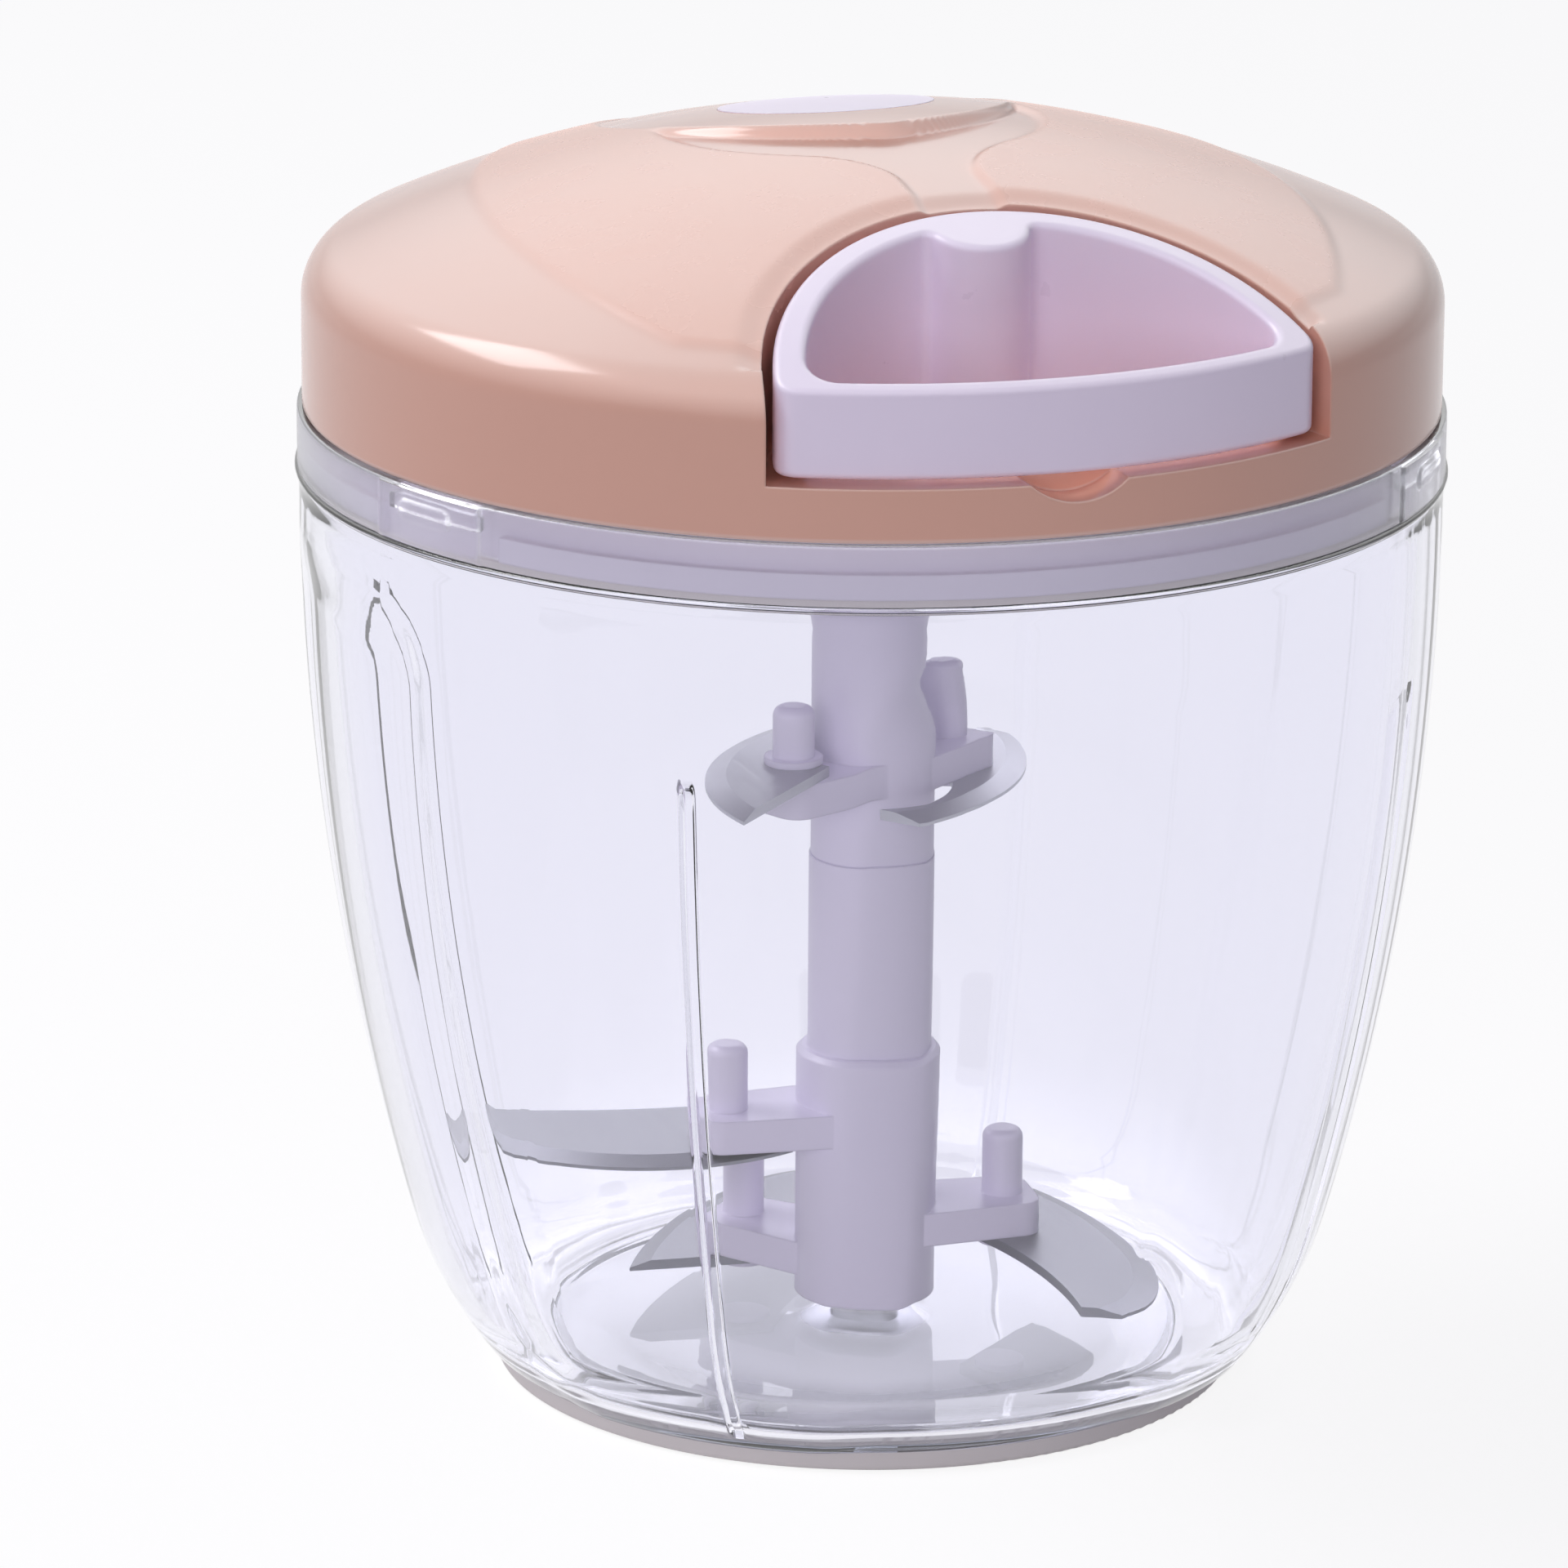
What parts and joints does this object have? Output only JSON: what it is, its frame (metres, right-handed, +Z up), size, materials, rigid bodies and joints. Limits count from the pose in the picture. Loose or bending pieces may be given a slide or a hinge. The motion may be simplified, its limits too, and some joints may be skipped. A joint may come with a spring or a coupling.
{
  "type": "food chopper",
  "caption": "Hand food chopper: clear fluted bowl, domed twist-lock lid with a pull handle on a spring-return cord reel, and a column of curved blades turning on a pin.",
  "frame": {"origin": "on the table, under the middle of the bowl", "axes": "+Z up along the blade column; the handle is pulled towards -Y; +X is to the right of the pull"},
  "size_m": [0.1324, 0.1324, 0.1483],
  "materials": {
    "clear_plastic": "clear, polished",
    "peach_plastic": "gloss, with grained fields on top",
    "white_plastic": "satin gloss",
    "inner_plastic": "satin gloss",
    "bearing_plastic": "natural, waxy",
    "soft_ring": "soft, satin",
    "blade_steel": "ground",
    "spring_steel": "blued strip",
    "screw_steel": "bright plated",
    "cord": "braided"
  },
  "bodies": {
    "bowl": {"bowl": "clear_plastic", "foot_ring": "soft_ring", "pivot_pin": "screw_steel"},
    "lid_seal": {"seal_ring": "soft_ring"},
    "lid": {"lid_cover": "peach_plastic", "top_disc": "white_plastic", "lid_base": "inner_plastic", "lid_screws": "screw_steel", "spring_arbor": "bearing_plastic", "arbor_screw": "screw_steel", "cord_eyelet": "screw_steel", "thrust_washer": "bearing_plastic"},
    "handle": {"pull_handle": "white_plastic", "cord_lead": "cord", "cord_knot": "cord"},
    "reel": {"cord_reel": "bearing_plastic", "spring_cap": "bearing_plastic", "spiral_spring": "spring_steel", "drive_coupling": "bearing_plastic", "coupling_screws": "screw_steel", "cord_winding": "cord"},
    "blades": {"lower_blade_hub": "white_plastic", "upper_blade_hub": "white_plastic", "mid_blade": "blade_steel", "low_blade_a": "blade_steel", "low_blade_b": "blade_steel", "upper_blade_a": "blade_steel", "upper_blade_b": "blade_steel"}
  },
  "joints": [
    {"name": "lid_lift", "type": "slide", "parent": "bowl", "child": "lid_seal", "axis": [0, 0, 1], "range_m": [0, 0.12]},
    {"name": "lid_twist", "type": "hinge", "parent": "lid_seal", "child": "lid", "pos_m": [0, 0, 0.115], "axis": [0, 0, 1], "range_deg": [-20, 0]},
    {"name": "handle_pull", "type": "slide", "parent": "lid", "child": "handle", "axis": [0, -1, 0], "range_m": [0, 0.28], "stiffness_N_per_m": 20, "springref_m": -0.15, "deforming": ["cord_lead"]},
    {"name": "reel_spin", "type": "hinge", "parent": "lid", "child": "reel", "pos_m": [0, 0, 0.127], "axis": [0, 0, 1], "range_deg": [0, 810], "deforming": ["spiral_spring"]},
    {"name": "blade_spin", "type": "hinge", "parent": "bowl", "child": "blades", "pos_m": [0, 0, 0.0074], "axis": [0, 0, 1], "range_deg": [0, 810]}
  ],
  "couplings": [
    {"joint": "reel_spin", "follows": "handle_pull", "rad_per_m": 50},
    {"joint": "blade_spin", "follows": "handle_pull", "rad_per_m": 50}
  ]
}
